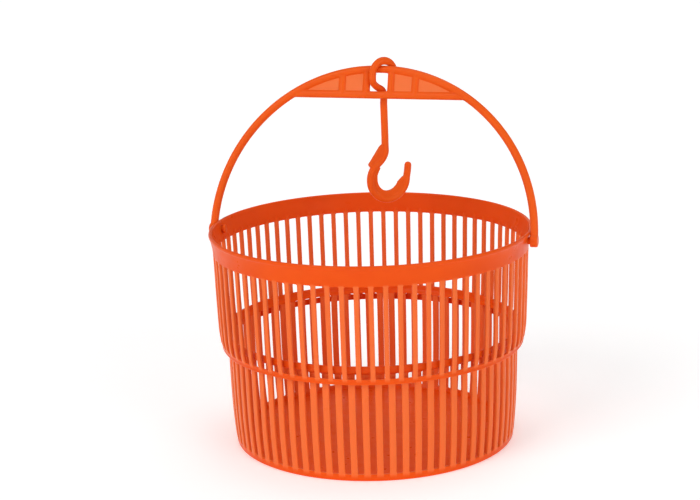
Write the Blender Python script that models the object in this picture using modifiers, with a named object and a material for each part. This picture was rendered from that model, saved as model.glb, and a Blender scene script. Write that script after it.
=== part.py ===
"""A round slotted basket that telescopes: a bucket, an upper tier that slides down over it,
a bail handle that pivots on the tier's rim, and a hook that swings on the handle.

Metres, +Z up. The origin is the centre of the base, on the surface that the basket stands on.
The handle's hinge line runs along X and the front is -Y."""

from math import atan2, cos, pi, radians, sin, sqrt

import bmesh
import bpy
from mathutils import Matrix, Vector

# Tiers
HEIGHT = 0.162
RIM_RADIUS = 0.120
WALL = 0.0022
RIB_COUNT = 72
PITCH = 2 * pi / RIB_COUNT
UPPER_RIB_WIDTH = 0.0036
LOWER_RIB_WIDTH = 0.0050

RIM_BAND_HEIGHT = 0.0154
RIM_BAND_FOOT = HEIGHT - RIM_BAND_HEIGHT
RIM_BAND_FOOT_RADIUS = 0.1173
RIM_BEAD_FOOT = HEIGHT - 0.0026
RIM_BEAD_STEP = 0.0008
RING_TOP = 0.0789
RING_FOOT = 0.0748
RING_FOOT_RADIUS = 0.1126

COLLAR_TOP = 0.0876
COLLAR_FOOT = 0.0821
COLLAR_RADIUS = 0.1112
BUCKET_SLOT_TOP = COLLAR_FOOT - 0.0009
BUCKET_TURN = radians(1.9)
BASE_BAND_HEIGHT = 0.0054
BASE_RADIUS = 0.1053
BASE_BEVEL = 0.0009

# Outer faces of the tiers, as (radius, height) from the top down
UPPER_PROFILE = [
    (RIM_RADIUS, HEIGHT),
    (RIM_RADIUS, RIM_BEAD_FOOT),
    (RIM_RADIUS - RIM_BEAD_STEP, RIM_BEAD_FOOT - 0.0006),
    (RIM_BAND_FOOT_RADIUS, RIM_BAND_FOOT),
    (0.1165, 0.1170),
    (0.1157, 0.0920),
    (0.1151, 0.0830),
    (0.1141, RING_TOP),
    (RING_FOOT_RADIUS, RING_FOOT),
]
LOWER_PROFILE = [
    (COLLAR_RADIUS, COLLAR_TOP),
    (COLLAR_RADIUS, COLLAR_FOOT),
    (0.1090, BUCKET_SLOT_TOP),
    (0.1088, 0.0670),
    (0.1085, 0.0500),
    (0.1080, 0.0330),
    (0.1072, 0.0190),
    (0.1060, BASE_BAND_HEIGHT),
    (BASE_RADIUS, BASE_BEVEL),
    (BASE_RADIUS - BASE_BEVEL, 0.0),
]

# Handle, in its own plane: a semicircle of rod a little above the pivot line, with a truss under it
PIVOT_HEIGHT = HEIGHT - 0.0066
HANDLE_LEAN = radians(18.0)
BAIL_RADIUS = 0.1231
BAIL_RISE = 0.0006
ROD_RADIUS = 0.0028
CHORD_FOOT = 0.1016
CHORD_HEIGHT = 0.0055
CHORD_DEPTH = 0.0042
CHORD_END_LOW = BAIL_RADIUS - 0.5 * ROD_RADIUS
CHORD_END_HIGH = BAIL_RADIUS - 0.3 * ROD_RADIUS
TRUSS_RIB_COUNT = 4
TRUSS_RIB_SPACING = 0.0187
TRUSS_RIB_WIDTH = 0.0053
TRUSS_RIB_DEPTH = 0.0038
WEB_DEPTH = 0.0014

# Pivot stud on each leg, and the hole in the rim band that it turns in
STUD_RADIUS = 0.0025
STUD_HEAD_RADIUS = 0.0035
STUD_HOLE_RADIUS = 0.0029
STUD_HEAD_INNER = RIM_RADIUS - 0.0065
STUD_HEAD_OUTER = RIM_RADIUS - 0.0048
BOSS_RADIUS = 0.0046
BOSS_INNER = RIM_RADIUS + 0.0006
BOSS_OUTER = BAIL_RADIUS + 0.0030
STUD_CHAMFER = 0.0006
ROUND_STEPS = 24

# Hook: an eye round the handle's crown, a straight shank and an open hook below
HOOK_X = 0.0028
HOOK_TURN = radians(43.0)
EYE_RADIUS = 0.0090
EYE_DROP = 0.0027
EYE_START = radians(-25.0)
EYE_END = radians(180.0)
EYE_SWELL = 0.13
EYE_SWELL_POWER = 4
SHANK_RADIUS = 0.00265
HOOK_CENTRE = (0.0025, -0.0833)
HOOK_BEND_RADIUS = 0.0153
HOOK_BEND_START = radians(136.0)
HOOK_BEND_END = radians(358.0)
FLANGE_DEPTH = 0.0032
LINER_CENTRE = (0.0018, -0.0828)
LINER_RADIUS = 0.0100
LINER_START = radians(180.0)
LINER_END = radians(354.0)

# Centre line of the rod between the eye and the shank, as (x, y, z) from the crown's middle
HOOK_NECK = [
    (-0.00655, -0.0071, -0.0060),
    (-0.0064, -0.0056, -0.0096),
    (-0.0047, -0.0022, -0.0129),
    (-0.0014, 0.0002, -0.0158),
    (0.0, 0.0006, -0.0205),
    (0.0, 0.0006, -0.0260),
]

# The rest of the hook, as (across, up) in its own plane
HOOK_DIAGONAL = [
    (0.0, -0.0500),
    (0.0, -0.0560),
    (-0.0002, -0.0597),
    (-0.0012, -0.0630),
    (-0.0031, -0.0664),
    (-0.0055, -0.0695),
]
HOOK_TIP = [(0.0189, -0.0783), (0.0193, -0.0747)]
LINER_TOP = [(-0.0077, -0.0796), (-0.0066, -0.0770), (-0.0049, -0.0741), (-0.0066, -0.0727)]
LINER_STEP = [(0.0170, -0.0831), (0.0143, -0.0831)]
HOOK_WING = [
    (0.0, -0.0560),
    (-0.0027, -0.0562),
    (-0.0036, -0.0572),
    (-0.0113, -0.0677),
    (-0.0132, -0.0699),
    (-0.0130, -0.0713),
    (-0.0119, -0.0727),
    (-0.0082, -0.0724),
    (-0.0055, -0.0695),
    (-0.0031, -0.0664),
    (-0.0010, -0.0625),
]

# Fineness of the curves, and the distance within which points are one
BAIL_STEPS = 48
WEB_STEPS = 12
EYE_STEPS = 16
NECK_STEPS = 3
BEND_STEPS = 24
LINER_STEPS = 18
ROD_BEVEL_STEPS = 4
SAME_POINT = 0.00001
SAME_ROD_POINT = 0.000001
SHARP_ANGLE = radians(35.0)

ORANGE = (0.83, 0.10, 0.012, 1.0)
ROUGHNESS = 0.34


def plastic(name, colour, roughness):
    """A plain plastic material."""
    material = bpy.data.materials.new(name)
    material.use_nodes = True
    shader = material.node_tree.nodes["Principled BSDF"]
    shader.inputs["Base Color"].default_value = colour
    shader.inputs["Roughness"].default_value = roughness
    shader.inputs["Metallic"].default_value = 0.0
    return material


def new_object(name, mesh, collection):
    """An object for a mesh or a curve, linked to a collection."""
    made = bpy.data.objects.new(name, mesh)
    collection.objects.link(made)
    return made


def mesh_from(bm, name):
    """Ends a bmesh and returns it as a mesh."""
    mesh = bpy.data.meshes.new(name)
    bm.to_mesh(mesh)
    bm.free()
    return mesh


def finish(made, material):
    """Gives a finished object its material and smooth shading with crisp edges."""
    made.data.materials.clear()
    made.data.materials.append(material)
    made.data.shade_smooth()
    made.data.set_sharp_from_angle(angle=SHARP_ANGLE)


# ---------------------------------------------------------------- tiers


def profile_wire(bm, profile):
    """A wire of edges through (radius, height) points in the XZ plane."""
    verts = [bm.verts.new((radius, 0.0, height)) for radius, height in profile]
    edges = [bm.edges.new(pair) for pair in zip(verts, verts[1:])]
    return verts + edges


def spin_tier(profile, rib_angle, first_angle):
    """Turns a profile once round Z, in turn by a rib's angle and by a slot's."""
    bm = bmesh.new()
    wire = profile_wire(bm, profile)
    bmesh.ops.rotate(bm, verts=wire[: len(profile)], matrix=Matrix.Rotation(first_angle, 3, "Z"))
    for step in range(2 * RIB_COUNT):
        angle = rib_angle if step % 2 == 0 else PITCH - rib_angle
        spun = bmesh.ops.spin(bm, geom=wire, axis=(0, 0, 1), cent=(0, 0, 0), angle=angle, steps=1)
        wire = spun["geom_last"]
    bmesh.ops.remove_doubles(bm, verts=bm.verts[:], dist=SAME_POINT)
    return bm


def open_slots(bm, rib_angle, rib_centre, low, high):
    """Deletes the faces between the ribs that lie between two heights."""
    gone = []
    for face in bm.faces:
        middle = face.calc_center_median()
        turns = (atan2(middle.y, middle.x) - rib_centre) / PITCH
        off_rib = abs(turns - round(turns)) * PITCH > 0.5 * rib_angle
        if off_rib and low < middle.z < high:
            gone.append(face)
    bmesh.ops.delete(bm, geom=gone, context="FACES")


def face_outwards(bm):
    """Turns the faces of an open tier away from its axis."""
    bmesh.ops.recalc_face_normals(bm, faces=bm.faces[:])
    wall = max(bm.faces, key=lambda face: face.calc_center_median().z)
    middle = wall.calc_center_median()
    if wall.normal.x * middle.x + wall.normal.y * middle.y < 0.0:
        bmesh.ops.reverse_faces(bm, faces=bm.faces[:])


def thicken(made):
    """Gives an open surface the wall's thickness, inwards."""
    shell = made.modifiers.new("Wall", "SOLIDIFY")
    shell.thickness = WALL
    shell.offset = -1.0
    shell.use_even_offset = True
    return made


def cut(target, cutter):
    """Subtracts a cutter object from a target."""
    boolean = target.modifiers.new("Cut", "BOOLEAN")
    boolean.operation = "DIFFERENCE"
    boolean.solver = "EXACT"
    boolean.object = cutter
    cutter.hide_render = True
    cutter.display_type = "WIRE"


def upper_tier(parts, cutters):
    """The sleeve: rim band, ribs and shoulder ring, with a hole for each pivot stud."""
    rib_angle = UPPER_RIB_WIDTH / RIM_BAND_FOOT_RADIUS
    bm = spin_tier(UPPER_PROFILE, rib_angle, -0.5 * rib_angle)
    open_slots(bm, rib_angle, 0.0, RING_TOP, RIM_BAND_FOOT)
    face_outwards(bm)
    tier = thicken(new_object("upper_tier", mesh_from(bm, "upper_tier"), parts))
    holes = bmesh.new()
    bmesh.ops.create_cone(
        holes,
        cap_ends=True,
        segments=ROUND_STEPS,
        radius1=STUD_HOLE_RADIUS,
        radius2=STUD_HOLE_RADIUS,
        depth=2.2 * RIM_RADIUS,
        matrix=Matrix.Translation((0, 0, PIVOT_HEIGHT)) @ Matrix.Rotation(0.5 * pi, 4, "Y"),
    )
    cut(tier, new_object("pivot_hole_cutter", mesh_from(holes, "pivot_hole_cutter"), cutters))
    finish(tier, plastic("upper_tier", ORANGE, ROUGHNESS))


def lower_bucket(parts):
    """The bucket: collar, ribs out of step with the sleeve's, base band and closed base."""
    rib_angle = LOWER_RIB_WIDTH / COLLAR_RADIUS
    bm = spin_tier(LOWER_PROFILE, rib_angle, BUCKET_TURN - 0.5 * rib_angle)
    open_slots(bm, rib_angle, BUCKET_TURN, BASE_BAND_HEIGHT, BUCKET_SLOT_TOP)
    foot = [edge for edge in bm.edges if all(vert.co.z < SAME_POINT for vert in edge.verts)]
    bmesh.ops.contextual_create(bm, geom=foot)
    face_outwards(bm)
    bucket = thicken(new_object("lower_bucket", mesh_from(bm, "lower_bucket"), parts))
    finish(bucket, plastic("lower_bucket", ORANGE, ROUGHNESS))


# ---------------------------------------------------------------- handle and hook


def curve_to_mesh(curve, name):
    """The mesh of a curve with its caps welded."""
    scratch = bpy.data.objects.new(name, curve)
    bpy.context.scene.collection.objects.link(scratch)
    evaluated = scratch.evaluated_get(bpy.context.evaluated_depsgraph_get())
    mesh = bpy.data.meshes.new_from_object(evaluated)
    bpy.data.objects.remove(scratch)
    bpy.data.curves.remove(curve)
    bm = bmesh.new()
    bm.from_mesh(mesh)
    bpy.data.meshes.remove(mesh)
    bmesh.ops.remove_doubles(bm, verts=bm.verts[:], dist=SAME_ROD_POINT)
    return mesh_from(bm, name)


def rod(name, points, radius):
    """A round rod through points of (position, scale of the radius)."""
    curve = bpy.data.curves.new(name, "CURVE")
    curve.dimensions = "3D"
    curve.bevel_depth = radius
    curve.bevel_resolution = ROD_BEVEL_STEPS
    curve.use_fill_caps = True
    spline = curve.splines.new("POLY")
    spline.points.add(len(points) - 1)
    for point, (position, scale) in zip(spline.points, points):
        point.co = (*position, 1.0)
        point.radius = scale
    return curve_to_mesh(curve, name)


def plate(name, outline, depth):
    """A flat plate with an outline in its own XY plane, centred on that plane."""
    curve = bpy.data.curves.new(name, "CURVE")
    curve.dimensions = "2D"
    curve.fill_mode = "BOTH"
    curve.extrude = 0.5 * depth
    spline = curve.splines.new("POLY")
    spline.points.add(len(outline) - 1)
    for point, (x, y) in zip(spline.points, outline):
        point.co = (x, y, 0.0, 1.0)
    spline.use_cyclic_u = True
    return curve_to_mesh(curve, name)


def arc(centre, radius, start, end, steps):
    """Points along an arc, from one angle to another."""
    angles = [start + (end - start) * step / steps for step in range(steps + 1)]
    return [(centre[0] + radius * cos(angle), centre[1] + radius * sin(angle)) for angle in angles]


def smooth_path(points, steps):
    """A Catmull-Rom curve through points of (position, scale), read at even steps."""
    values = [Vector((*position, scale)) for position, scale in points]
    values = [2 * values[0] - values[1], *values, 2 * values[-1] - values[-2]]
    path = []
    for before, start, end, after in zip(values, values[1:], values[2:], values[3:]):
        for step in range(steps):
            t = step / steps
            path.append(
                0.5 * (2 * start + (end - before) * t)
                + 0.5 * (2 * before - 5 * start + 4 * end - after) * t**2
                + 0.5 * (3 * start - before - 3 * end + after) * t**3
            )
    path.append(values[-2])
    return [(tuple(value[:3]), value[3]) for value in path]


def stud_mesh():
    """A leg's boss, stud and snap head at +X, turned about the X axis."""
    profile = [
        (BOSS_OUTER, 0.0),
        (BOSS_OUTER, BOSS_RADIUS - STUD_CHAMFER),
        (BOSS_OUTER - STUD_CHAMFER, BOSS_RADIUS),
        (BOSS_INNER, BOSS_RADIUS),
        (BOSS_INNER, STUD_RADIUS),
        (STUD_HEAD_OUTER, STUD_RADIUS),
        (STUD_HEAD_OUTER, STUD_HEAD_RADIUS),
        (STUD_HEAD_INNER + STUD_CHAMFER, STUD_HEAD_RADIUS),
        (STUD_HEAD_INNER, STUD_RADIUS),
        (STUD_HEAD_INNER, 0.0),
    ]
    bm = bmesh.new()
    verts = [bm.verts.new((x, 0.0, radius)) for x, radius in profile]
    edges = [bm.edges.new(pair) for pair in zip(verts, verts[1:])]
    geom = verts + edges
    bmesh.ops.spin(bm, geom=geom, axis=(1, 0, 0), cent=(0, 0, 0), angle=2 * pi, steps=ROUND_STEPS)
    bmesh.ops.remove_doubles(bm, verts=bm.verts[:], dist=SAME_POINT)
    bmesh.ops.recalc_face_normals(bm, faces=bm.faces[:])
    return mesh_from(bm, "stud")


def mirrored(mesh):
    """A copy of a mesh mirrored in the plane x = 0, facing outwards."""
    bm = bmesh.new()
    bm.from_mesh(mesh)
    bmesh.ops.scale(bm, vec=(-1, 1, 1), verts=bm.verts[:])
    bmesh.ops.reverse_faces(bm, faces=bm.faces[:])
    return mesh_from(bm, mesh.name)


def joined(name, meshes, parts, cutters):
    """One object made by the union of closed meshes."""
    base = new_object(name, meshes[0], parts)
    for number, mesh in enumerate(meshes[1:]):
        other = new_object(f"{name}_piece_{number}", mesh, cutters)
        other.hide_render = True
        other.display_type = "WIRE"
        union = base.modifiers.new(f"Union {number}", "BOOLEAN")
        union.operation = "UNION"
        union.solver = "EXACT"
        union.object = other
    return base


def apply_modifiers(made, cutters):
    """Replaces an object's mesh by its evaluated one and removes the pieces it was made from."""
    evaluated = made.evaluated_get(bpy.context.evaluated_depsgraph_get())
    mesh = bpy.data.meshes.new_from_object(evaluated)
    made.modifiers.clear()
    made.data = mesh
    for other in [piece for piece in cutters.objects if piece.name.startswith(made.name)]:
        bpy.data.objects.remove(other)


def stand_up(mesh):
    """Turns a plate from the XY plane into the XZ plane."""
    mesh.transform(Matrix.Rotation(0.5 * pi, 4, "X"))
    return mesh


def bail_reach(radius, height):
    """How far from the middle a circle about the bail's centre is at a height over the pivots."""
    return sqrt(radius**2 - (height - BAIL_RISE) ** 2)


def bail_height(x):
    """The height of the bail's centre line over the pivots at a distance from the middle."""
    return BAIL_RISE + sqrt(BAIL_RADIUS**2 - x**2)


def handle(parts, cutters):
    """The bail in its own upright plane about the pivot line, then leant back."""
    crown = arc((0.0, BAIL_RISE), BAIL_RADIUS, 0.0, pi, BAIL_STEPS)
    path = [(BAIL_RADIUS, 0.0), *crown, (-BAIL_RADIUS, 0.0)]
    meshes = [rod("bail", [((x, 0.0, z), 1.0) for x, z in path], ROD_RADIUS)]

    chord_middle = CHORD_FOOT + 0.5 * CHORD_HEIGHT
    chord_top = CHORD_FOOT + CHORD_HEIGHT
    half_low = bail_reach(CHORD_END_LOW, CHORD_FOOT)
    half_high = bail_reach(CHORD_END_HIGH, chord_top)
    chord = [
        (-half_low, CHORD_FOOT),
        (half_low, CHORD_FOOT),
        (half_high, chord_top),
        (-half_high, chord_top),
    ]
    meshes.append(stand_up(plate("chord", chord, CHORD_DEPTH)))

    inner_rib = 0.5 * TRUSS_RIB_SPACING
    web_start = atan2(chord_middle - BAIL_RISE, bail_reach(BAIL_RADIUS, chord_middle))
    web_end = atan2(bail_height(inner_rib) - BAIL_RISE, inner_rib)
    web = arc((0.0, BAIL_RISE), BAIL_RADIUS, web_start, web_end, WEB_STEPS)
    web.append((inner_rib, chord_middle))
    web_mesh = stand_up(plate("web", web, WEB_DEPTH))
    meshes += [web_mesh, mirrored(web_mesh)]

    for number in range(TRUSS_RIB_COUNT):
        x = (number - 0.5 * (TRUSS_RIB_COUNT - 1)) * TRUSS_RIB_SPACING
        half = 0.5 * TRUSS_RIB_WIDTH
        top = bail_height(x)
        rib = [(x - half, chord_middle), (x + half, chord_middle), (x + half, top), (x - half, top)]
        meshes.append(stand_up(plate(f"truss_rib_{number}", rib, TRUSS_RIB_DEPTH)))

    stud = stud_mesh()
    meshes += [stud, mirrored(stud)]

    bail = joined("handle", meshes, parts, cutters)
    apply_modifiers(bail, cutters)
    bail.location = (0.0, 0.0, PIVOT_HEIGHT)
    bail.rotation_euler = (-HANDLE_LEAN, 0.0, 0.0)
    finish(bail, plastic("handle", ORANGE, ROUGHNESS))


def hook_rod_points():
    """The rod's centre line from the middle of the handle's crown: x along it, y back, z up."""
    across = Vector((cos(HOOK_TURN), sin(HOOK_TURN), 0.0))

    def turned(u, w):
        return tuple(across * u + Vector((0.0, 0.0, w)))

    points = []
    for step in range(EYE_STEPS + 1):
        angle = EYE_START + (EYE_END - EYE_START) * step / EYE_STEPS
        place = turned(EYE_RADIUS * cos(angle), EYE_RADIUS * sin(angle) - EYE_DROP)
        points.append((place, 1.0 + EYE_SWELL * max(sin(angle), 0.0) ** EYE_SWELL_POWER))
    neck = [points[-1], *((place, 1.0) for place in HOOK_NECK)]
    points += smooth_path(neck, NECK_STEPS)[1:]
    bend = arc(HOOK_CENTRE, HOOK_BEND_RADIUS, HOOK_BEND_START, HOOK_BEND_END, BEND_STEPS)
    diagonal = [(turned(u, w), 1.0) for u, w in [*HOOK_DIAGONAL, bend[0]]]
    points += smooth_path(diagonal, NECK_STEPS)[:-1]
    points += [(turned(u, w), 1.0) for u, w in bend + HOOK_TIP]
    return points


def hook(parts, cutters):
    """The hook, hanging straight down from the crown of the leant handle."""
    meshes = [rod("hook_rod", hook_rod_points(), SHANK_RADIUS)]
    stand = Matrix.Rotation(HOOK_TURN, 4, "Z") @ Matrix.Rotation(0.5 * pi, 4, "X")

    liner = arc(HOOK_CENTRE, HOOK_BEND_RADIUS, HOOK_BEND_START, HOOK_BEND_END, LINER_STEPS)
    liner += LINER_STEP + arc(LINER_CENTRE, LINER_RADIUS, LINER_END, LINER_START, LINER_STEPS)
    liner += LINER_TOP
    for name, outline in (("hook_liner", liner), ("hook_wing", HOOK_WING)):
        mesh = plate(name, outline, FLANGE_DEPTH)
        mesh.transform(stand)
        meshes.append(mesh)

    made = joined("hook", meshes, parts, cutters)
    apply_modifiers(made, cutters)
    crown = BAIL_RADIUS + BAIL_RISE
    made.location = (
        HOOK_X,
        crown * sin(HANDLE_LEAN),
        PIVOT_HEIGHT + crown * cos(HANDLE_LEAN),
    )
    finish(made, plastic("hook", ORANGE, ROUGHNESS))


def main():
    for old in list(bpy.data.objects):
        bpy.data.objects.remove(old)
    parts = bpy.data.collections.new("telescoping basket")
    cutters = bpy.data.collections.new("cutters")
    for collection in (parts, cutters):
        bpy.context.scene.collection.children.link(collection)
    lower_bucket(parts)
    upper_tier(parts, cutters)
    handle(parts, cutters)
    hook(parts, cutters)


main()
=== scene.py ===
"""Looks of the telescoping slotted basket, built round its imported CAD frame.

Metres, in the frame's own axes: +Z up, the front is -Y, the handle's hinge line runs along X."""

from math import atan2, cos, exp, hypot, pi, radians, sin, sqrt, tau

import bmesh
import bpy
import numpy as np
from mathutils import Matrix, Vector


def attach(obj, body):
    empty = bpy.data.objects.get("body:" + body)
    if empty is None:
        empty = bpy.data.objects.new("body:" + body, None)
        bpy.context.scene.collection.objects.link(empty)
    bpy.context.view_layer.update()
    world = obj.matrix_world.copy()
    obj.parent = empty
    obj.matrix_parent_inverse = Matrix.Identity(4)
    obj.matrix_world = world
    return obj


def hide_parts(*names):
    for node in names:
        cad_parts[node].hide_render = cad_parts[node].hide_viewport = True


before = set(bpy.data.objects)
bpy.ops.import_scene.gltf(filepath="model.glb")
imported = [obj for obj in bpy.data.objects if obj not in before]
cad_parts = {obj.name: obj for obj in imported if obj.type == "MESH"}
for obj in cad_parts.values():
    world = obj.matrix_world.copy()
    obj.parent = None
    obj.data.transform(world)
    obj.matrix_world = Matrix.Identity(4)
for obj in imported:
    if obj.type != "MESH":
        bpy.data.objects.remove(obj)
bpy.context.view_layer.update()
SCENE = bpy.context.scene

# ------------------------------------------------------------------ sizes, as in the CAD

RIB_COUNT = 72
PITCH = tau / RIB_COUNT
PIVOT_HEIGHT = 0.1554
LEAN = radians(18.0)
BAIL_RADIUS = 0.1231
BAIL_RISE = 0.0006

# The handle's rod is a little slimmer under the hook's eye, so that the eye can swing freely.
ROD_RADIUS = 0.0030
CROWN_SLIMNESS = 0.07
CROWN_REACH = 0.014

SLOT_CORNER = 0.0009
SLOT_END = 2.2 * SLOT_CORNER
EDGE_ROUND = 0.00045

# How finely curves are cut, and the distances at which points count as one.
CORNER_ANGLES = (30.0, 60.0, 90.0)
LIP_ANGLES = (90.0, 68.0, 45.0, 22.0, 0.0)
RIB_EDGE_SHARES = (0.0, 0.15, 0.5, 1.0)
SLOT_EDGE_SHARES = (2.0, 1.0, 0.5, 0.15, 0.0)
WALL_STEPS = 8
ROD_SIDES = 28
TURNED_SIDES = 32
SAME_POINT = 0.000001
WELD_DISTANCE = 0.000002


# ------------------------------------------------------------------ mesh helpers


def new_object(name, mesh):
    """An object for a mesh, linked to the scene."""
    made = bpy.data.objects.new(name, mesh)
    SCENE.collection.objects.link(made)
    return made


def mesh_of(bm, name):
    """Ends a bmesh and returns it as a mesh."""
    mesh = bpy.data.meshes.new(name)
    bm.to_mesh(mesh)
    bm.free()
    return mesh


def shade(made, sharp=40.0):
    """Smooth shading with sharp edges kept crisp."""
    made.data.shade_smooth()
    made.data.set_sharp_from_angle(angle=radians(sharp))


def baked(made):
    """Replaces an object's mesh by its mesh with all modifiers applied."""
    evaluated = made.evaluated_get(bpy.context.evaluated_depsgraph_get())
    mesh = bpy.data.meshes.new_from_object(evaluated)
    made.modifiers.clear()
    made.data = mesh


def smooth_points(points, steps):
    """A Catmull-Rom curve through points of any length, read at even steps."""
    values = [np.array(point, float) for point in points]
    values = [2 * values[0] - values[1], *values, 2 * values[-1] - values[-2]]
    path = []
    for before, start, end, after in zip(values, values[1:], values[2:], values[3:]):
        for t in np.arange(steps) / steps:
            path.append(
                0.5 * (2 * start + (end - before) * t)
                + 0.5 * (2 * before - 5 * start + 4 * end - after) * t**2
                + 0.5 * (3 * start - before - 3 * end + after) * t**3
            )
    return np.array(path + [values[-2]])


# ------------------------------------------------------------------ slotted tiers


def slot_distance(u, z, half_slot, middle, half_height, centre):
    """Distance from a slot with rounded corners: 0 on its outline, positive outside it."""
    x = np.abs(np.abs(u) - centre) - half_slot + SLOT_CORNER
    y = np.abs(z - middle) - half_height + SLOT_CORNER
    outside = np.hypot(np.maximum(x, 0.0), np.maximum(y, 0.0))
    return outside + np.minimum(np.maximum(x, y), 0.0) - SLOT_CORNER


def rounding(distance):
    """How far a face drops next to an edge, for a round of EDGE_ROUND."""
    near = np.clip(EDGE_ROUND - distance, 0.0, EDGE_ROUND)
    return EDGE_ROUND - np.sqrt(EDGE_ROUND**2 - near**2)


def pitch_columns(half_rib, half_pitch):
    """Places across one pitch from a rib's left edge, and the number of the first one on a slot."""
    inner = [half_rib - EDGE_ROUND * share for share in RIB_EDGE_SHARES]
    rib = [-place for place in inner] + [0.0] + inner[::-1]
    corner = [half_rib + SLOT_CORNER * (1 - cos(radians(a))) for a in CORNER_ANGLES]
    slot = corner + [2 * half_pitch - place for place in corner[::-1]]
    return np.array(rib + slot), len(rib) - 1


def end_line(u, half_rib, half_pitch):
    """How far a slot's rounded end rises above its corners' centres, at places across the pitch."""
    to_edge = np.minimum(u - half_rib, 2 * half_pitch - half_rib - u)
    inside = np.clip(SLOT_CORNER - to_edge, 0.0, SLOT_CORNER)
    rise = np.sqrt(SLOT_CORNER**2 - inside**2)
    return np.where(to_edge < 0.0, 0.0, rise)


def tier_mesh(name, spec):
    """A slotted tier as one closed mesh. Rows run from the top down, columns round the axis."""
    radius = spec["radius"]
    half_rib = 0.5 * spec["rib_angle"] * radius
    half_pitch = 0.5 * PITCH * radius
    low, high = spec["slot"]
    u, first_slot = pitch_columns(half_rib, half_pitch)
    rise = end_line(u, half_rib, half_pitch)
    wall = smooth_points(spec["wall"], WALL_STEPS)
    wall = wall[np.argsort(wall[:, 1])]

    def outer_wall(z):
        return np.interp(z, wall[:, 1], wall[:, 0])

    def folded(values):
        return np.where(values > half_pitch, values - 2 * half_pitch, values)

    def inner_wall(z):
        place = folded(u)
        above = np.maximum(z - high - spec["bump"], 0.0)
        from_bump = np.hypot(place, above)
        proud = np.clip((half_rib - from_bump) / EDGE_ROUND, 0.0, 1.0)
        eased = proud * proud * (3 - 2 * proud)
        return outer_wall(z) - spec["band_wall"] - spec["rib_extra"] * eased

    rows = []
    for outer, inner in spec["head"]:
        rows.append([np.full_like(u, value) for value in (*outer, *inner)])

    def wall_row(z):
        z = z + np.zeros_like(u)
        half_slot, middle, half_height = half_pitch - half_rib, 0.5 * (low + high), 0.5 * (high - low)
        distance = slot_distance(folded(u), z, half_slot, middle, half_height, half_pitch)
        drop = rounding(np.maximum(distance, 0.0))
        crown = spec["crown"] * np.clip(1.0 - (folded(u) / half_rib) ** 2, 0.0, 1.0)
        crown = crown * (z < high) * (z > low)
        rows.append([outer_wall(z) - drop + crown, z, inner_wall(z) + drop, z])

    for z in spec["above"]:
        wall_row(z)
    steps = [EDGE_ROUND * share for share in SLOT_EDGE_SHARES]
    for step in steps:
        wall_row(high - SLOT_CORNER + rise + step)
    slot_top_row = len(rows) - 1
    for z in np.linspace(high - SLOT_END, low + SLOT_END, spec["rib_rows"]):
        wall_row(z)
    slot_foot_row = len(rows)
    for step in steps[::-1]:
        wall_row(low + SLOT_CORNER - rise - step)
    for outer, inner in spec["foot"]:
        rows.append([np.full_like(u, value) for value in (*outer, *inner)])

    table = np.array(rows)
    row_count, column_count = len(rows), len(u) * RIB_COUNT
    angles = (u / radius)[None, :] + PITCH * np.arange(RIB_COUNT)[:, None] + spec["phase"]
    angles = angles.ravel()
    grids = []
    for r, z in ((0, 1), (2, 3)):
        big_r = np.tile(table[:, r], (1, RIB_COUNT))
        big_z = np.tile(table[:, z], (1, RIB_COUNT))
        grids.append(np.stack([big_r * np.cos(angles), big_r * np.sin(angles), big_z], -1))
    verts = np.concatenate([grid.reshape(-1, 3) for grid in grids])

    solid = np.ones((row_count - 1, len(u)), bool)
    solid[slot_top_row:slot_foot_row, first_slot:] = False
    solid = np.tile(solid, (1, RIB_COUNT))
    offset = row_count * column_count

    def index(i, j, side):
        return side * offset + i * column_count + j % column_count

    def quads(*corners):
        return np.stack([index(*corner) for corner in corners], -1)

    i, j = np.nonzero(solid)
    faces = [
        quads((i, j, 0), (i + 1, j, 0), (i + 1, j + 1, 0), (i, j + 1, 0)),
        quads((i, j, 1), (i, j + 1, 1), (i + 1, j + 1, 1), (i + 1, j, 1)),
    ]
    padded = np.pad(solid, ((1, 1), (0, 0)))
    for rows_on, near in ((padded[:-2], 0), (padded[2:], 1)):
        i, j = np.nonzero(solid & ~rows_on)
        a, b = (j, j + 1) if near == 0 else (j + 1, j)
        k = i + near
        faces.append(quads((k, a, 0), (k, b, 0), (k, b, 1), (k, a, 1)))
    for shift, near in ((1, 0), (-1, 1)):
        i, j = np.nonzero(solid & ~np.roll(solid, shift, axis=1))
        k = j + near
        a, b = (i + 1, i) if near == 0 else (i, i + 1)
        faces.append(quads((a, k, 0), (b, k, 0), (b, k, 1), (a, k, 1)))
    mesh = bpy.data.meshes.new(name)
    mesh.from_pydata(verts.tolist(), [], np.concatenate(faces).tolist())
    bm = bmesh.new()
    bm.from_mesh(mesh)
    bpy.data.meshes.remove(mesh)
    loose = [vert for vert in bm.verts if not vert.link_faces]
    bmesh.ops.delete(bm, geom=loose, context="VERTS")
    if spec["closed"]:
        close_base(bm, spec["foot"][-1])
    bmesh.ops.remove_doubles(bm, verts=bm.verts[:], dist=WELD_DISTANCE)
    bmesh.ops.recalc_face_normals(bm, faces=bm.faces[:])
    return mesh_of(bm, name)


def close_base(bm, last):
    """Swaps the wall at the end of the last row for two flat discs."""
    (outer_r, outer_z), (inner_r, inner_z) = last
    seam = []
    for face in bm.faces:
        places = [(hypot(vert.co.x, vert.co.y), vert.co.z) for vert in face.verts]
        on_outer = any(abs(r - outer_r) + abs(z - outer_z) < SAME_POINT for r, z in places)
        on_inner = any(abs(r - inner_r) + abs(z - inner_z) < SAME_POINT for r, z in places)
        if on_outer and on_inner:
            seam.append(face)
    bmesh.ops.delete(bm, geom=seam, context="FACES_ONLY")
    rims = [edge for edge in bm.edges if edge.is_boundary]
    bmesh.ops.edgeloop_fill(bm, edges=rims)


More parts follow.
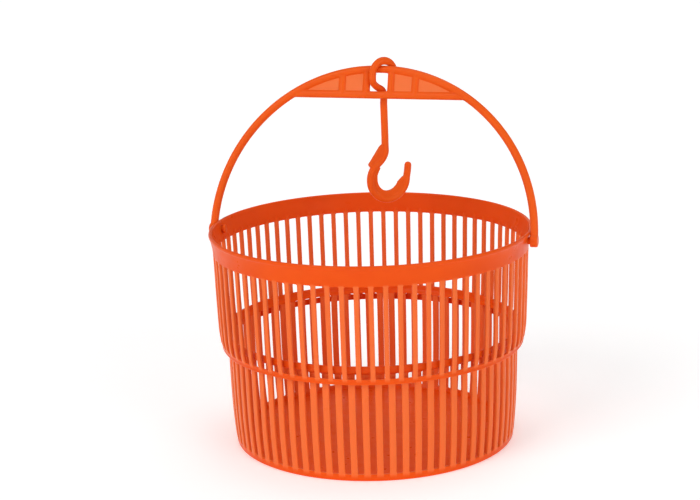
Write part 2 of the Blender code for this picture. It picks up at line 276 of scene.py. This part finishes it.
def lip(middle, height, half):
    """Rows of a half-round lip, from its top down to its full width."""
    rows = []
    for angle in LIP_ANGLES:
        out, up = half * cos(radians(angle)), half * sin(radians(angle))
        rows.append(((middle + out, height + up), (middle - out, height + up)))
    return rows


# Each tier: the radius at which slots are measured, the ribs' angle and turn, the slots' foot and top,
# how far the ribs' inner ridges run into the band, wall thicknesses, the ribs' crown, the number of
# rows along a rib, and (radius, height) points. The wall is one line of them. Head, above and foot are
# the rows over and under the slots: head and foot give an outer and an inner point for each row.

UPPER = {
    "radius": 0.1165,
    "rib_angle": 0.0036 / 0.1173,
    "phase": 0.0,
    "slot": (0.0789, 0.1466),
    "bump": 0.0018,
    "band_wall": 0.0018,
    "rib_extra": 0.0005,
    "crown": 0.0001,
    "rib_rows": 12,
    "wall": [(0.1192, 0.1588), (0.1173, 0.1466), (0.1165, 0.117), (0.1157, 0.092), (0.1151, 0.083),
             (0.1141, 0.0789), (0.1133, 0.0768)],
    "head": lip(0.1188, 0.1608, 0.0012) + [
        ((0.1200, 0.1600), (0.11755, 0.1600)),
        ((0.1198, 0.1595), (0.11748, 0.1595)),
        ((0.1194, 0.1591), (0.11742, 0.1591)),
    ],
    "above": [0.1587, 0.1560, 0.1530, 0.1508, 0.1501, 0.1494, 0.1487, 0.1480],
    "foot": [
        ((0.11345, 0.0763), (0.1112, 0.0766)),
        ((0.11358, 0.0758), (0.1110, 0.0760)),
        ((0.11352, 0.0753), (0.1109, 0.0755)),
        ((0.11325, 0.0749), (0.1109, 0.0751)),
        ((0.1128, 0.0748), (0.1113, 0.0748)),
    ],
    "closed": False,
}

LOWER = {
    "radius": 0.1080,
    "rib_angle": 0.0050 / 0.1112,
    "phase": radians(1.9),
    "slot": (0.0054, 0.0812),
    "bump": 0.0,
    "band_wall": 0.0022,
    "rib_extra": 0.0,
    "crown": 0.0001,
    "rib_rows": 14,
    "wall": [(0.1112, 0.0832), (0.1092, 0.0818), (0.1089, 0.0800), (0.1088, 0.067), (0.1085, 0.050),
             (0.1080, 0.033), (0.1072, 0.019), (0.1060, 0.0054), (0.1053, 0.0009)],
    "head": [
        ((0.1106, 0.0876), (0.1097, 0.0876)),
        ((0.11105, 0.08745), (0.1093, 0.08745)),
        ((0.1112, 0.0870), (0.10905, 0.0870)),
        ((0.1112, 0.0850), (0.1090, 0.0850)),
        ((0.1112, 0.0834), (0.1086, 0.0834)),
        ((0.1108, 0.0828), (0.1078, 0.0828)),
    ],
    "above": [],
    "foot": [
        ((0.1056, 0.0026), (0.1028, 0.0031)),
        ((0.1054, 0.0012), (0.1020, 0.0024)),
        ((0.1050, 0.0004), (0.1011, 0.0022)),
        ((0.1043, 0.0), (0.1005, 0.0022)),
        ((0.0992, 0.0), (0.0990, 0.0022)),
        ((0.0986, 0.0006), (0.0984, 0.0022)),
    ],
    "closed": True,
}


# ------------------------------------------------------------------ handle and hook


def sweep(bm, path, scales, section):
    """A closed tube along a path of points, with a section of (across, normal) points."""
    path = [Vector(point) for point in path]
    normal = Vector((0.0, 1.0, 0.0))
    rings = []
    for k, point in enumerate(path):
        ahead = path[min(k + 1, len(path) - 1)] - path[max(k - 1, 0)]
        ahead.normalize()
        normal = (normal - ahead * normal.dot(ahead)).normalized()
        across = ahead.cross(normal)
        scale = scales[k]
        rings.append([bm.verts.new(point + scale * (across * a + normal * b)) for a, b in section])
    count = len(section)
    for first, second in zip(rings, rings[1:]):
        for k in range(count):
            after = (k + 1) % count
            bm.faces.new((first[k], first[after], second[after], second[k]))
    bm.faces.new(rings[0][::-1])
    bm.faces.new(rings[-1])


def round_section(radius):
    """A round section."""
    angles = [tau * k / ROD_SIDES for k in range(ROD_SIDES)]
    return [(radius * cos(angle), radius * sin(angle)) for angle in angles]


def pad_section(width, depth, power):
    """A section like a rounded rectangle, squarer with a higher power."""
    points = []
    for k in range(ROD_SIDES):
        c, s = cos(tau * k / ROD_SIDES), sin(tau * k / ROD_SIDES)
        scale = (abs(c) ** power + abs(s) ** power) ** (-1.0 / power)
        points.append((0.5 * width * c * scale, 0.5 * depth * s * scale))
    return points


def slab(bm, outline, depth, place):
    """A flat slab with an outline of (across, up) points, put in place by a function."""
    rings = []
    for side in (-1, 1):
        rings.append([bm.verts.new(place(a, side * 0.5 * depth, b)) for a, b in outline])
    bm.faces.new(rings[0])
    bm.faces.new(rings[1][::-1])
    for k in range(len(outline)):
        after = (k + 1) % len(outline)
        bm.faces.new((rings[0][k], rings[1][k], rings[1][after], rings[0][after]))


def turned(bm, profile, side):
    """A turned piece about the X axis, from (x, radius) points, on one side of the basket."""
    rings = []
    for x, r in profile:
        angles = [tau * k / TURNED_SIDES for k in range(TURNED_SIDES)]
        rings.append([bm.verts.new((side * x, r * cos(a), r * sin(a))) for a in angles])
    for first, second in zip(rings, rings[1:]):
        for k in range(TURNED_SIDES):
            after = (k + 1) % TURNED_SIDES
            bm.faces.new((first[k], first[after], second[after], second[k]))
    bm.faces.new(rings[0][::-1])
    bm.faces.new(rings[-1])


def arc(centre, radius, start, end, steps):
    """Points along an arc."""
    angles = np.linspace(start, end, steps + 1)
    return [(centre[0] + radius * cos(a), centre[1] + radius * sin(a)) for a in angles]


def moulded(bm, name, voxel):
    """Welds closed shapes into one moulding with small fillets where they meet."""
    bmesh.ops.recalc_face_normals(bm, faces=bm.faces[:])
    made = new_object(name, mesh_of(bm, name))
    weld = made.modifiers.new("Weld", "REMESH")
    weld.mode = "VOXEL"
    weld.voxel_size = voxel
    fillet = made.modifiers.new("Fillet", "SMOOTH")
    fillet.factor = 0.5
    fillet.iterations = FILLET_PASSES
    lighter = made.modifiers.new("Lighter", "DECIMATE")
    lighter.ratio = KEPT_SHARE
    baked(made)
    return made


HANDLE_VOXEL = 0.0004
HOOK_VOXEL = 0.0003
FILLET_PASSES = 4
KEPT_SHARE = 0.35

# Handle. The sinks are how far the truss runs into the rod that it meets.
CROWN_STEPS = 120
CHORD_FOOT = 0.1016
CHORD_HEIGHT = 0.0055
CHORD_DEPTH = 0.0044
TRUSS_RIBS = (-0.02805, -0.00935, 0.00935, 0.02805)
TRUSS_RIB_WIDTH = 0.0053
TRUSS_RIB_DEPTH = 0.0046
CHORD_POWER = 3.0
TRUSS_RIB_POWER = 2.6
CHORD_SINK = 0.0006
TRUSS_RIB_SINK = 0.0004
WEB_DEPTH = 0.0014
WEB_STEPS = 24

# Boss, neck and snap head on the end of each leg, as (distance from the middle, radius).
STUD = [
    (0.1135, 0.0018), (0.1135, 0.0027), (0.1141, 0.0035), (0.1152, 0.0035), (0.1152, 0.0025),
    (0.1206, 0.0025), (0.1206, 0.0046), (0.1255, 0.0046), (0.1261, 0.0040), (0.1261, 0.0018),
]


def upright(across, depth, up):
    """A place in the handle's own upright plane."""
    return (across, depth, up)


def bail_reach(radius, height):
    """How far from the middle a circle about the bail's centre is at a height over the pivots."""
    return sqrt(radius**2 - (height - BAIL_RISE) ** 2)


def handle_mesh():
    """The bail: rod, chord, truss ribs, webs and pivot studs, in its own upright plane."""
    bm = bmesh.new()
    crown = arc((0.0, BAIL_RISE), BAIL_RADIUS, 0.0, pi, CROWN_STEPS)
    crown = [(BAIL_RADIUS, 0.0), *crown, (-BAIL_RADIUS, 0.0)]
    slim = [1.0 - CROWN_SLIMNESS * exp(-((x / CROWN_REACH) ** 2)) for x, _ in crown]
    sweep(bm, [(x, 0.0, z) for x, z in crown], slim, round_section(ROD_RADIUS))
    middle = CHORD_FOOT + 0.5 * CHORD_HEIGHT
    reach = bail_reach(BAIL_RADIUS - CHORD_SINK, middle)
    chord = [(x, 0.0, middle) for x in np.linspace(-reach, reach, 41)]
    sweep(bm, chord, [1.0] * len(chord), pad_section(CHORD_HEIGHT, CHORD_DEPTH, CHORD_POWER))
    for x in TRUSS_RIBS:
        top = BAIL_RISE + sqrt((BAIL_RADIUS - TRUSS_RIB_SINK) ** 2 - x**2)
        rib = [(x, 0.0, z) for z in np.linspace(middle - CHORD_SINK, top, 9)]
        section = pad_section(TRUSS_RIB_WIDTH, TRUSS_RIB_DEPTH, TRUSS_RIB_POWER)
        sweep(bm, rib, [1.0] * len(rib), section)
    inner = TRUSS_RIBS[2]
    start = atan2(middle - BAIL_RISE, bail_reach(BAIL_RADIUS, middle))
    end = atan2(sqrt(BAIL_RADIUS**2 - inner**2), inner)
    web = arc((0.0, BAIL_RISE), BAIL_RADIUS, start, end, WEB_STEPS) + [(inner, middle)]
    slab(bm, web, WEB_DEPTH, upright)
    slab(bm, [(-x, z) for x, z in web], WEB_DEPTH, upright)
    turned(bm, STUD, 1)
    turned(bm, STUD, -1)
    return bm


# Hook. Its lines are (across, up) points from the crown's middle, in a plane turned about the shank.
HOOK_TURN = radians(43.0)
HOOK_X = 0.0028
EYE_RADIUS = 0.0090
EYE_DROP = 0.0027
EYE_START = radians(-25.0)
EYE_STEPS = 28
EYE_SCALE = 0.95
EYE_SWELL = 0.13
EYE_SWELL_POWER = 4
SHANK_RADIUS = 0.00275
HOOK_CENTRE = (0.0023, -0.0834)
HOOK_BEND_RADIUS = 0.0156
HOOK_BEND_START = radians(136.0)
HOOK_BEND_END = radians(358.0)
HOOK_BEND_STEPS = 44
LINER_CENTRE = (0.0018, -0.0828)
LINER_RADIUS = 0.0095
LINER_END = radians(338.0)
LINER_STEPS = 30
FLANGE_DEPTH = 0.0032
CURVE_STEPS = 6
TIP_SHARES = (0.5, 0.8, 0.95)

# From the eye round to the shank, as (x, y, z, thickness as a share of the shank's).
NECK = [
    (-0.00655, -0.0071, -0.0060, 0.95),
    (-0.0064, -0.0056, -0.0096, 0.95),
    (-0.0047, -0.0022, -0.0129, 0.97),
    (-0.0014, 0.0002, -0.0158, 1.0),
    (-0.0004, 0.0006, -0.0205, 1.0),
    (-0.0005, 0.0006, -0.0260, 1.0),
]
DIAGONAL = [
    (0.0, -0.0500), (0.0, -0.0570), (0.0001, -0.0607), (-0.0004, -0.0638), (-0.0022, -0.0670),
    (-0.0050, -0.0699),
]
TIP = [(0.0189, -0.0783), (0.0193, -0.0747)]
LINER_STEP = [(0.0172, -0.0826), (0.0149, -0.0829)]
LINER_TOP = [(-0.0077, -0.0796), (-0.0066, -0.0770), (-0.0049, -0.0741), (-0.0066, -0.0727)]
WING = [
    (0.0, -0.0562), (-0.0030, -0.0567), (-0.0046, -0.0579), (-0.0124, -0.0682), (-0.0142, -0.0704),
    (-0.0142, -0.0717), (-0.0130, -0.0730), (-0.0082, -0.0726), (-0.0055, -0.0695), (-0.0031, -0.0664),
    (-0.0010, -0.0625),
]


def in_hook_plane(across, depth, up):
    """A place in the hook's own plane, turned about its shank."""
    c, s = cos(HOOK_TURN), sin(HOOK_TURN)
    return (across * c - depth * s, across * s + depth * c, up)


def hook_mesh():
    """The hook, hanging from the crown's middle."""
    bm = bmesh.new()
    points = []
    for angle in np.linspace(EYE_START, pi, EYE_STEPS + 1):
        place = in_hook_plane(EYE_RADIUS * cos(angle), 0.0, EYE_RADIUS * sin(angle) - EYE_DROP)
        points.append((*place, EYE_SCALE + EYE_SWELL * max(sin(angle), 0.0) ** EYE_SWELL_POWER))
    points += smooth_points([points[-1], *NECK], CURVE_STEPS)[1:].tolist()
    bend = arc(HOOK_CENTRE, HOOK_BEND_RADIUS, HOOK_BEND_START, HOOK_BEND_END, HOOK_BEND_STEPS)
    diagonal = [(*in_hook_plane(u, 0.0, w), 1.0) for u, w in [*DIAGONAL, bend[0]]]
    points += smooth_points(diagonal, CURVE_STEPS)[:-1].tolist()
    points += [(*in_hook_plane(u, 0.0, w), 1.0) for u, w in bend + TIP]
    last = Vector(points[-1][:3])
    way = (last - Vector(points[-2][:3])).normalized()
    for share in TIP_SHARES:
        place = last + way * SHANK_RADIUS * share
        points.append((*place, sqrt(1.0 - share**2)))
    sweep(bm, [p[:3] for p in points], [p[3] for p in points], round_section(SHANK_RADIUS))
    inside = arc(LINER_CENTRE, LINER_RADIUS, LINER_END, pi, LINER_STEPS)
    slab(bm, bend + LINER_STEP + inside + LINER_TOP, FLANGE_DEPTH, in_hook_plane)
    slab(bm, WING, FLANGE_DEPTH, in_hook_plane)
    return bm


# ------------------------------------------------------------------ materials

ORANGE = (0.83, 0.090, 0.0045, 1.0)
DEEP_ORANGE = (0.76, 0.070, 0.0035, 1.0)
# Painted highlight colour for convex edges, standing in for light catching them.
EDGE_HIGHLIGHT_ORANGE = (0.88, 0.150, 0.018, 1.0)
# Painted glow colour where light shines through the slot ribs and truss webs.
LIT_THROUGH_ORANGE = (0.88, 0.185, 0.048, 1.0)
ROD_ORANGE = (0.85, 0.115, 0.009, 1.0)
ROD_DEEP = (0.79, 0.092, 0.007, 1.0)

PLASTIC = {
    "IOR": 1.49,
    "Specular IOR Level": 0.10,
    "Subsurface Weight": 0.22,
    "Subsurface Radius": (1.0, 0.45, 0.15),
    "Subsurface Scale": 0.002,
}
MOTTLE_SCALE = 38.0
GLOSS_SCALE = 120.0
GLOSS_RANGE = (0.27, 0.42)
GRAIN_SCALE = 1400.0
GRAIN_STRENGTH = 0.12
GRAIN_DEPTH = 0.0001
EDGE_POINTINESS = (0.52, 0.62)
# How far the random mottle and the painted edge highlight move the colour.
MOTTLE_AND_HIGHLIGHT_SHARE = 0.55


def plastic(name, seed, plain=ORANGE, deep=DEEP_ORANGE, lit_through=False):
    """Satin moulded polypropylene: mottled colour, a painted highlight on convex edges, a painted glow
    where light shines through, uneven gloss and a fine grain.
    """
    material = bpy.data.materials.new(name)
    material.use_nodes = True
    nodes, links = material.node_tree.nodes, material.node_tree.links
    shader = nodes["Principled BSDF"]
    for socket, value in PLASTIC.items():
        shader.inputs[socket].default_value = value
    place = nodes.new("ShaderNodeTexCoord")
    moved = nodes.new("ShaderNodeMapping")
    moved.inputs["Location"].default_value = (seed, 2.0 * seed, 3.0 * seed)
    links.new(place.outputs["Object"], moved.inputs["Vector"])

    def noise(scale, detail):
        made = nodes.new("ShaderNodeTexNoise")
        made.inputs["Scale"].default_value = scale
        made.inputs["Detail"].default_value = detail
        links.new(moved.outputs["Vector"], made.inputs["Vector"])
        return made.outputs["Fac"]

    def ranged(value, low, high, to_low, to_high):
        made = nodes.new("ShaderNodeMapRange")
        links.new(value, made.inputs["Value"])
        made.inputs["From Min"].default_value = low
        made.inputs["From Max"].default_value = high
        made.inputs["To Min"].default_value = to_low
        made.inputs["To Max"].default_value = to_high
        return made.outputs["Result"]

    def mixed(factor, first, second):
        made = nodes.new("ShaderNodeMix")
        made.data_type = "RGBA"
        links.new(factor, made.inputs["Factor"])
        for socket, value in ((made.inputs[6], first), (made.inputs[7], second)):
            if isinstance(value, tuple):
                socket.default_value = value
            else:
                links.new(value, socket)
        return made.outputs[2]

    mottle = ranged(noise(MOTTLE_SCALE, 4.0), 0.35, 0.70, 0.0, MOTTLE_AND_HIGHLIGHT_SHARE)
    colour = mixed(mottle, plain, deep)
    geometry = nodes.new("ShaderNodeNewGeometry")
    # Painted highlight: convex edges are mixed towards a paler orange, standing in for light catching
    # and glowing through the edges.
    edges = ranged(geometry.outputs["Pointiness"], *EDGE_POINTINESS, 0.0, MOTTLE_AND_HIGHLIGHT_SHARE)
    colour = mixed(edges, colour, EDGE_HIGHLIGHT_ORANGE)
    # Painted glow: parts marked as lit through are mixed towards a paler orange, standing in for light
    # shining through the wall.
    if lit_through:
        marked = nodes.new("ShaderNodeAttribute")
        marked.attribute_name = "lit_through"
        colour = mixed(marked.outputs["Fac"], colour, LIT_THROUGH_ORANGE)
    links.new(colour, shader.inputs["Base Color"])
    links.new(ranged(noise(GLOSS_SCALE, 3.0), 0.3, 0.7, *GLOSS_RANGE), shader.inputs["Roughness"])
    bump = nodes.new("ShaderNodeBump")
    bump.inputs["Strength"].default_value = GRAIN_STRENGTH
    bump.inputs["Distance"].default_value = GRAIN_DEPTH
    links.new(noise(GRAIN_SCALE, 2.0), bump.inputs["Height"])
    links.new(bump.outputs["Normal"], shader.inputs["Normal"])
    return material


def dressed(made, material):
    """Gives a piece its only material."""
    made.data.materials.clear()
    made.data.materials.append(material)


# ------------------------------------------------------------------ pieces

STUD_HOLE_RADIUS = 0.0029
STUD_HOLE_LENGTH = 0.26
# How strongly the ribs between the slots get the painted glow of light shining through them.
RIB_LIT_THROUGH_SHARE = 0.75
WEB_MARGIN = 0.0002


def mark_lit_through_ribs(made, spec):
    """Marks the ribs between the slots for a painted glow: a paler colour that stands in for light
    shining through them.
    """
    low, high = spec["slot"]
    attribute = made.data.attributes.new("lit_through", "FLOAT", "POINT")
    for vert, value in zip(made.data.vertices, attribute.data):
        value.value = RIB_LIT_THROUGH_SHARE * float(low < vert.co.z < high)


def make_tiers():
    """The two slotted mouldings."""
    upper = new_object("upper_tier_moulding", tier_mesh("upper_tier_moulding", UPPER))
    bm = bmesh.new()
    bmesh.ops.create_cone(
        bm,
        cap_ends=True,
        segments=TURNED_SIDES,
        radius1=STUD_HOLE_RADIUS,
        radius2=STUD_HOLE_RADIUS,
        depth=STUD_HOLE_LENGTH,
        matrix=Matrix.Translation((0, 0, PIVOT_HEIGHT)) @ Matrix.Rotation(0.5 * pi, 4, "Y"),
    )
    cutter = new_object("stud_holes", mesh_of(bm, "stud_holes"))
    holes = upper.modifiers.new("Holes", "BOOLEAN")
    holes.operation = "DIFFERENCE"
    holes.solver = "EXACT"
    holes.object = cutter
    baked(upper)
    bpy.data.objects.remove(cutter)
    shade(upper)
    mark_lit_through_ribs(upper, UPPER)
    dressed(upper, plastic("orange_upper", 0.0, lit_through=True))
    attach(upper, "sleeve")
    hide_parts("upper_tier")

    lower = new_object("lower_bucket_moulding", tier_mesh("lower_bucket_moulding", LOWER))
    shade(lower)
    mark_lit_through_ribs(lower, LOWER)
    dressed(lower, plastic("orange_lower", 3.0, lit_through=True))
    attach(lower, "bucket")
    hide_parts("lower_bucket")


def mark_lit_through_webs(made):
    """Marks the webs of the truss for a painted glow: a paler colour that stands in for light shining
    through them.
    """
    attribute = made.data.attributes.new("lit_through", "FLOAT", "POINT")
    for vert, value in zip(made.data.vertices, attribute.data):
        x, y, z = vert.co
        on_web = abs(y) < 0.5 * WEB_DEPTH + WEB_MARGIN and z > CHORD_FOOT + CHORD_HEIGHT
        inside = hypot(x, z - BAIL_RISE) < BAIL_RADIUS - ROD_RADIUS and abs(x) > TRUSS_RIBS[2]
        value.value = float(on_web and inside)


def make_handle():
    """The bail, leant back from upright about its pivot line."""
    made = moulded(handle_mesh(), "bail_moulding", HANDLE_VOXEL)
    mark_lit_through_webs(made)
    made.data.transform(Matrix.Translation((0, 0, PIVOT_HEIGHT)) @ Matrix.Rotation(-LEAN, 4, "X"))
    shade(made, 60.0)
    dressed(made, plastic("orange_handle", 6.0, ROD_ORANGE, ROD_DEEP, lit_through=True))
    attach(made, "bail")
    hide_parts("handle")


def make_hook():
    """The hook, hanging straight down from the leant crown."""
    made = moulded(hook_mesh(), "hook_moulding", HOOK_VOXEL)
    height = BAIL_RADIUS + BAIL_RISE
    crown = (HOOK_X, height * sin(LEAN), PIVOT_HEIGHT + height * cos(LEAN))
    made.data.transform(Matrix.Translation(crown))
    shade(made, 60.0)
    dressed(made, plastic("orange_hook", 9.0, ROD_ORANGE, ROD_DEEP))
    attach(made, "hanger")
    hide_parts("hook")


# ------------------------------------------------------------------ stage, light and camera

FLOOR_REACH = 8.0
FLOOR_GREY = 0.93
FLOOR_GLOW = 0.32
SUN_ANGLE = radians(32.0)

# The backdrop's strength near the horizon and overhead, and the band of heights between the two.
BACKDROP_LOW = 1.03
BACKDROP_HIGH = 0.20
BACKDROP_FADE = (0.15, 0.35)


def make_stage():
    """A plain pale floor that runs past the view."""
    bm = bmesh.new()
    bmesh.ops.create_grid(bm, x_segments=8, y_segments=8, size=FLOOR_REACH)
    floor = new_object("floor", mesh_of(bm, "floor"))
    material = bpy.data.materials.new("floor_pale")
    material.use_nodes = True
    shader = material.node_tree.nodes["Principled BSDF"]
    shader.inputs["Base Color"].default_value = (FLOOR_GREY, FLOOR_GREY, FLOOR_GREY, 1.0)
    shader.inputs["Roughness"].default_value = 0.7
    shader.inputs["Specular IOR Level"].default_value = 0.1
    shader.inputs["Emission Color"].default_value = (1.0, 1.0, 1.0, 1.0)
    shader.inputs["Emission Strength"].default_value = FLOOR_GLOW
    dressed(floor, material)


def soft_sun(name, place, strength):
    """A wide sun that shines from a place towards the origin, equally strong all over the floor."""
    data = bpy.data.lights.new(name, "SUN")
    data.angle = SUN_ANGLE
    data.energy = strength
    made = bpy.data.objects.new(name, data)
    SCENE.collection.objects.link(made)
    made.location = place
    made.rotation_euler = (-Vector(place)).to_track_quat("-Z", "Y").to_euler()


def make_light():
    """Soft studio light, with a white backdrop that meets the floor at the horizon."""
    world = bpy.data.worlds.new("studio")
    SCENE.world = world
    world.use_nodes = True
    nodes, links = world.node_tree.nodes, world.node_tree.links
    sky = nodes["Background"]
    sky.inputs["Color"].default_value = (1.0, 1.0, 1.0, 1.0)
    way = nodes.new("ShaderNodeTexCoord")
    split = nodes.new("ShaderNodeSeparateXYZ")
    fade = nodes.new("ShaderNodeMapRange")
    fade.inputs["From Min"].default_value = BACKDROP_FADE[0]
    fade.inputs["From Max"].default_value = BACKDROP_FADE[1]
    fade.inputs["To Min"].default_value = BACKDROP_LOW
    fade.inputs["To Max"].default_value = BACKDROP_HIGH
    links.new(way.outputs["Generated"], split.inputs["Vector"])
    links.new(split.outputs["Z"], fade.inputs["Value"])
    links.new(fade.outputs["Result"], sky.inputs["Strength"])
    soft_sun("key", (-0.9, -1.5, 1.4), 1.05)
    soft_sun("fill", (1.5, -1.1, 0.8), 0.60)
    soft_sun("top", (0.1, 0.3, 1.8), 0.80)
    SCENE.view_settings.view_transform = "Standard"


VIEW_AZIMUTH = radians(15.35)
VIEW_ELEVATION = radians(16.18)
VIEW_DISTANCE = 1.3708
VIEW_TARGET = Vector((0.0, 0.0, 0.090))
VIEW_ROLL = radians(1.47)
VIEW_LENS = 93.5
VIEW_SHIFT = (-0.0322, 0.0987)


def make_camera():
    """A camera at the product view's angle, a little off its optical axis."""
    data = bpy.data.cameras.new("camera")
    data.lens = VIEW_LENS
    data.sensor_width = 36.0
    data.shift_x, data.shift_y = VIEW_SHIFT
    camera = bpy.data.objects.new("camera", data)
    SCENE.collection.objects.link(camera)
    back = Vector((
        cos(VIEW_ELEVATION) * sin(VIEW_AZIMUTH),
        -cos(VIEW_ELEVATION) * cos(VIEW_AZIMUTH),
        sin(VIEW_ELEVATION),
    ))
    right = Vector((0.0, 0.0, 1.0)).cross(back).normalized()
    up = back.cross(right)
    rolled_right = right * cos(VIEW_ROLL) - up * sin(VIEW_ROLL)
    rolled_up = right * sin(VIEW_ROLL) + up * cos(VIEW_ROLL)
    turn = Matrix((rolled_right, rolled_up, back)).transposed().to_4x4()
    camera.matrix_world = Matrix.Translation(VIEW_TARGET + back * VIEW_DISTANCE) @ turn
    SCENE.camera = camera


make_camera()
make_tiers()
make_handle()
make_hook()
make_stage()
make_light()
